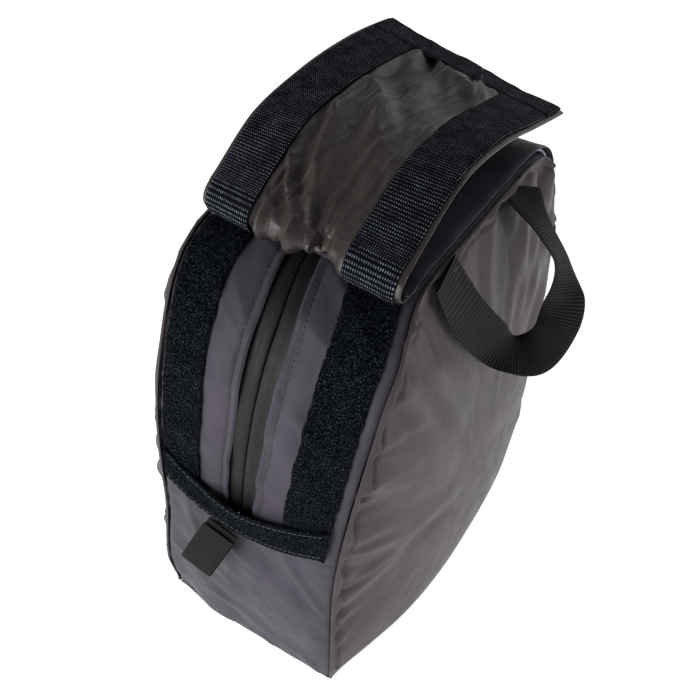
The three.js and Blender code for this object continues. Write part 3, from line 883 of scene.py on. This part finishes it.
def build_flap_base():
    rows, s = fold_path(150)
    x = span(-FLAP_HALF, FLAP_HALF, 60)
    fold, top = rows[-1]
    curl = smooth_line(np.array([[fold, top], [fold - 3, top + 1.2], [fold - 5, top + 4]]),
                       span(0, 1, 8)[1:])
    path = np.vstack([rows, curl])
    arc = np.concatenate([s - s[0], (s[-1] - s[0]) - np.arange(1, len(curl) + 1) * 1.2])
    gx, gi = np.meshgrid(x, np.arange(len(path)), indexing="ij")
    d = np.gradient(path, axis=0)
    size = np.hypot(d[:, 0], d[:, 1])
    normal = np.stack([d[:, 1], -d[:, 0]], -1) / size[:, None]
    y = path[:, 0][gi]
    crown = flap_crown(gx, y) * (gi < len(rows))
    edge = FLAP_HALF - np.abs(gx)
    pucker = 0.9 * ridges(gi / 7.0, gx / 50, 92) * np.exp(-edge / 12)
    soft = 1.0 * fabric_noise(gx / 24, gi / 14.0, 91) + pucker
    out = crown + (soft * ease(edge, 0, 5) + 0.9) * (gi < len(rows) - 4)
    left = np.clip((1 - gx / FLAP_HALF) / 2, 0, 1)
    back = FOLD_SKEW * left * ease(gi, len(rows) - 30, len(rows))
    grid = np.stack([gx, y + normal[:, 0][gi] * out + back,
                     path[:, 1][gi] + normal[:, 1][gi] * out], -1)
    uv = np.stack([gx, arc[gi]], -1)
    layer = add_slab("flap_base_cloth", grid, FLAP_CLOTH, uv)
    finish(layer, LOOKS["gusset_fabric"], "bag", "flap_fabric", "flap_base")


def bend(obj, k):
    """Bakes a flap piece's transform; the direction across fold line k (0 is the fold on the bag) is worked
    out but not used, so the piece is not blended.
    """
    if k == 0:
        dy, dz = FOLD_DIRECTION
    else:
        dy, dz, _ = smooth_line(FOLDS, (k + 0.05) / 4) - smooth_line(FOLDS, (k - 0.05) / 4)
    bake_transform(obj)


def end_wave(x, v):
    """The free end waves up and down a little."""
    return 2.6 * fabric_noise(x / 26, 0 * x + 2, 97) * ease(v, 3.0, 4.0)


def face_outside(piece, cells):
    """Gives the flap's outer face, the second set of cells, the bag's own cloth."""
    piece.data.materials.append(LOOKS["gusset_fabric"])
    for face in piece.data.polygons[cells:2 * cells]:
        face.material_index = 1


def build_free_flap():
    for k, (v0, v1) in enumerate(FLAP_CUTS):
        x, v = np.meshgrid(span(-FLAP_HALF, FLAP_HALF, 110), span(v0, v1, int(70 * (v1 - v0)) + 2),
                           indexing="ij")
        relief = liner_relief(x, v) + end_wave(x, v)
        grid = free_flap(v, x, relief)
        piece = add_slab(f"flap_{k + 1}_cloth", grid, FLAP_CLOTH, np.stack([x, v * FLAP_STEP], -1))
        finish(piece, LOOKS["flap_fabric"], None, "flap_fabric", f"flap_{k + 1}")
        face_outside(piece, (x.shape[0] - 1) * (x.shape[1] - 1))
        bend(piece, k)


def build_hook_row(side, sign, k):
    """One length of hook tape on one side of the flap."""
    v0, v1 = HOOK_CUTS[k]
    edges = sorted([sign * HOOK_IN, sign * HOOK_OUT])
    x, v = np.meshgrid(span(edges[0], edges[1], 24), span(v0, v1, int(60 * (v1 - v0)) + 2),
                       indexing="ij")
    wander = 0.7 * lattice_noise(v * 1.4, 0 * v, 103 + sign)
    rise = 0.7 + 0.35 + TAPE / 2 + end_wave(x, v) + 0.5 * fabric_noise(x / 30, v * 1.6, 105)
    grid = free_flap(v, x + wander, rise)
    tape = add_slab(f"flap_hook_{side}_{k + 1}_rows", grid, TAPE, np.stack([x, v * FLAP_STEP], -1))
    finish(tape, LOOKS["hook_tape"], None, "hook_tape", f"flap_hook_{side}_{k + 1}")
    bend(tape, k)


def build_end_hook():
    """Hook tape across the flap's free end."""
    x, v = np.meshgrid(span(-62, 62, 90), span(*END_HOOK_CUT, 40), indexing="ij")
    wander = 0.9 * lattice_noise(v * 1.4, 0 * v, 103) + 0.25 * lattice_noise(v * 14, 0 * v, 104)
    rise = 1.9 + end_wave(x, v) + 0.7 * fabric_noise(x / 30, v * 1.6, 105)
    grid = free_flap(v, x + wander, rise)
    tape = add_slab("flap_end_hook_rows", grid, TAPE, np.stack([x, v * FLAP_STEP], -1), True, True)
    finish(tape, LOOKS["hook_tape"], "flap_length_4", "hook_tape", "flap_end_hook")


def build_hook_tapes():
    for side, sign in (("right", 1), ("left", -1)):
        for k in range(len(HOOK_CUTS)):
            build_hook_row(side, sign, k)
    build_end_hook()


# ---------------------------------------------------------------- webbing
def add_ribbon(name, centre, across, width, thick, uv_length):
    """Webbing along centre points, with edges that thin out."""
    columns = 12
    a = span(-0.5, 0.5, columns)
    along = np.linspace(0, uv_length, len(centre))
    grid = centre[None] + across[None] * (a[:, None, None] * width)
    uv = np.stack(np.meshgrid(a * width, along, indexing="ij"), -1)
    return add_slab(name, grid, thick, uv)


def build_handle():
    t = span(0, 1, 420)
    centre = smooth_line(HANDLE_LINE, t)
    d = smooth_line(HANDLE_LINE, t + 0.01) - smooth_line(HANDLE_LINE, t - 0.01)
    d /= np.linalg.norm(d, axis=1, keepdims=True)
    across = smooth_line(HANDLE_WIDTH, t)
    across -= d * (across * d).sum(1, keepdims=True)
    across /= np.linalg.norm(across, axis=1, keepdims=True)
    length = np.linalg.norm(np.diff(centre, axis=0), axis=1).sum()
    strap = add_ribbon("handle_webbing", centre, across, HANDLE_W, HANDLE_CLOTH, length)
    finish(strap, LOOKS["webbing"], "handle", "webbing", "handle_strap")


def build_tab():
    """The tab: webbing down, round its lower end and back up to the strip."""
    normal = np.cross(TAB_SIDE, TAB_REACH)
    normal /= np.linalg.norm(normal)
    path = []
    for f in span(-0.03, 1, 40):
        path.append(TAB_ROOT + TAB_REACH * f - normal * (0.7 + 0.25 * math.sin(f * 3)))
    end = TAB_ROOT + TAB_REACH
    down = TAB_REACH / np.linalg.norm(TAB_REACH)
    for a in span(0, math.pi, 12)[1:-1]:
        path.append(end - normal * (1.7 - 1.0 * math.cos(a)) + down * 1.2 * math.sin(a))
    for f in span(1, 0.07, 40):
        path.append(TAB_ROOT + TAB_REACH * f - normal * (2.7 + 0.5 * math.sin(f * 3)))
    centre = np.array(path)
    across = np.tile(TAB_SIDE / np.linalg.norm(TAB_SIDE), (len(centre), 1))
    tab = add_ribbon("grab_tab_webbing", centre, across, TAB_WIDTH, TAB_CLOTH, TAB_LENGTH)
    finish(tab, LOOKS["webbing"], "tab", "webbing", "grab_tab")


# ---------------------------------------------------------------- what stays from the CAD
def dress_cad_nodes():
    slots = {p["node"]: p["material_slot"] for p in frame["record"]["subparts"]}
    for name, node in frame["nodes"].items():
        if node.hide_render:
            continue
        node.data.materials.clear()
        node.data.materials.append(LOOKS[slots[name]])


# ---------------------------------------------------------------- studio
def build_floor():
    bpy.ops.mesh.primitive_plane_add(size=40, location=(0, 0, -0.0002))
    floor = bpy.context.object
    floor.name = "floor"
    m = Nodes("pale_floor")
    floor.data.materials.append(m.finish(m.ramp(m.noise(0.002, 2), (0.4, 0.93), (0.6, 0.95)), 0.8))
    m.shader.inputs["Emission Color"].default_value = (1, 1, 1, 1)
    m.shader.inputs["Emission Strength"].default_value = 0.75


def build_world():
    """A pale sky, white at the horizon and grey overhead."""
    world = bpy.data.worlds.new("studio")
    bpy.context.scene.world = world
    world.use_nodes = True
    tree = world.node_tree
    coord = tree.nodes.new("ShaderNodeTexCoord")
    split = tree.nodes.new("ShaderNodeSeparateXYZ")
    ramp = tree.nodes.new("ShaderNodeValToRGB")
    tree.links.new(coord.outputs["Generated"], split.inputs["Vector"])
    tree.links.new(split.outputs["Z"], ramp.inputs["Fac"])
    low, high = ramp.color_ramp.elements
    low.position, low.color = 0.0, (1, 1, 1, 1)
    high.position, high.color = 0.7, (0.35, 0.35, 0.35, 1)
    tree.links.new(ramp.outputs["Color"], tree.nodes["Background"].inputs["Color"])
    tree.nodes["Background"].inputs["Strength"].default_value = 0.5


def build_lights():
    for name, place, size, power, aim in LIGHTS:
        data = bpy.data.lights.new(name, "AREA")
        data.size = size
        data.energy = power
        light = bpy.data.objects.new(name, data)
        light.location = place
        light.rotation_euler = (Vector(aim) - Vector(place)).to_track_quat("-Z", "Y").to_euler()
        bpy.context.scene.collection.objects.link(light)


def build_camera():
    azimuth, elevation, roll = (math.radians(a) for a in CAMERA_TURN)
    back = Vector((math.sin(azimuth) * math.cos(elevation), -math.cos(azimuth) * math.cos(elevation),
                   math.sin(elevation)))
    right = (-back).cross(Vector((0, 0, 1))).normalized()
    up = right.cross(-back)
    right, up = right * math.cos(roll) + up * math.sin(roll), up * math.cos(roll) - right * math.sin(roll)
    data = bpy.data.cameras.new("camera")
    data.sensor_width = SENSOR
    data.lens = LENS
    data.clip_start = 0.01
    camera = bpy.data.objects.new("camera", data)
    spin = Matrix((right, up, back)).transposed().to_4x4()
    camera.matrix_world = Matrix.Translation(Vector(CAMERA_TARGET) + back * CAMERA_DISTANCE) @ spin
    bpy.context.scene.collection.objects.link(camera)
    bpy.context.scene.camera = camera


build_camera()
build_floor()
build_world()
build_lights()
bpy.context.scene.view_settings.view_transform = "Standard"
build_gusset()
build_base()
build_zipper()
build_bindings()
build_loop_tapes()
build_cross_strip()
build_stitching()
build_side("right", 1, seed=71)
build_side("left", -1, seed=171)
build_flap_base()
build_free_flap()
build_hook_tapes()
build_handle()
build_tab()
dress_cad_nodes()
